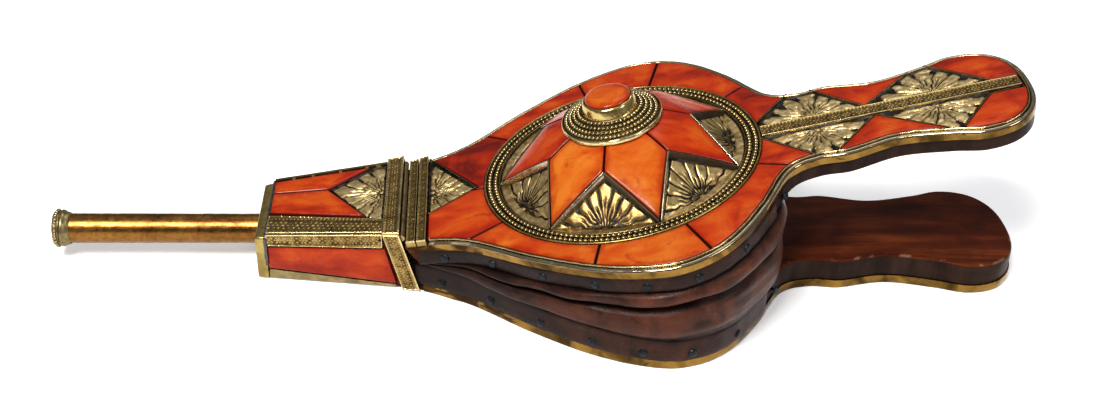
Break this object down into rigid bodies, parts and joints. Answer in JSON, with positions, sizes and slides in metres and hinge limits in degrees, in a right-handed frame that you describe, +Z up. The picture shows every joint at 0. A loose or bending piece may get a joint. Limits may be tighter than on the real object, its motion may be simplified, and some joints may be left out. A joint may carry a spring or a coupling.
{
  "type": "hand bellows",
  "caption": "Fireside hand bellows with two shaped boards, a folded leather gusset, a brass nozzle and a bone and brass inlay with a raised star.",
  "frame": {"origin": "on the underside of the lower board, directly below the hinge line, on the centre line", "axes": "+X from the nozzle towards the handles, +Y across, +Z up through the boards"},
  "size_m": [0.4807, 0.192, 0.1025],
  "materials": {
    "bone": "polished",
    "brass": "worn satin",
    "aged_brass": "aged, embossed",
    "relief_brass": "embossed on a black ground",
    "wood": "oiled dark",
    "leather": "worn, waxed",
    "iron": "oxidised"
  },
  "bodies": {
    "lower_half": {"lower_board": "wood", "nose_block": "wood", "nozzle_tube": "brass", "nozzle_rim": "aged_brass", "nose_front_plate": "brass", "nose_bone_top_near": "bone", "nose_bone_top_far": "bone", "nose_bone_side_near": "bone", "nose_bone_side_far": "bone", "nose_panel": "relief_brass", "nose_ridge_strips": "aged_brass", "nose_collar_band": "aged_brass", "hinge_wire": "brass", "hinge_leather": "leather", "lower_rim_strip": "brass", "leather_lower_hem": "leather", "lower_tacks": "iron", "leather_gusset": "leather", "valve_strap": "leather"},
    "upper_half": {"top_board": "wood", "top_rim_band": "brass", "top_fillet_wire": "brass", "front_band_a": "aged_brass", "front_band_b": "aged_brass", "front_panel": "relief_brass", "border_bone_near_1": "bone", "border_bone_near_2": "bone", "border_bone_near_3": "bone", "border_bone_near_4": "bone", "border_bone_near_5": "bone", "border_bone_far_1": "bone", "border_bone_far_2": "bone", "border_bone_far_3": "bone", "border_bone_far_4": "bone", "border_bone_far_5": "bone", "handle_bone_near_1": "bone", "handle_bone_near_2": "bone", "handle_bone_far_1": "bone", "handle_bone_far_2": "bone", "handle_sheet": "relief_brass", "handle_strip": "aged_brass", "ring_ropes": "aged_brass", "ring_wire": "brass", "star_core": "wood", "star_sheets": "relief_brass", "star_bone_1": "bone", "star_bone_2": "bone", "star_bone_3": "bone", "star_bone_4": "bone", "star_bone_5": "bone", "star_bone_6": "bone", "star_bone_7": "bone", "boss_rim": "brass", "boss_beads": "aged_brass", "boss_cone": "brass", "cabochon": "bone", "leather_upper_hem": "leather", "upper_tacks": "iron"},
    "valve": {"valve_flap": "leather"}
  },
  "joints": [
    {"name": "board_hinge", "type": "hinge", "parent": "lower_half", "child": "upper_half", "pos_m": [0, 0, 0.0315], "axis": [0, -1, 0], "range_deg": [-10, 8], "deforming": ["leather_gusset", "hinge_leather"]},
    {"name": "valve_hinge", "type": "hinge", "parent": "lower_half", "child": "valve", "pos_m": [0.0896, 0, 0.0161], "axis": [0, -1, 0], "range_deg": [0, 8]}
  ]
}
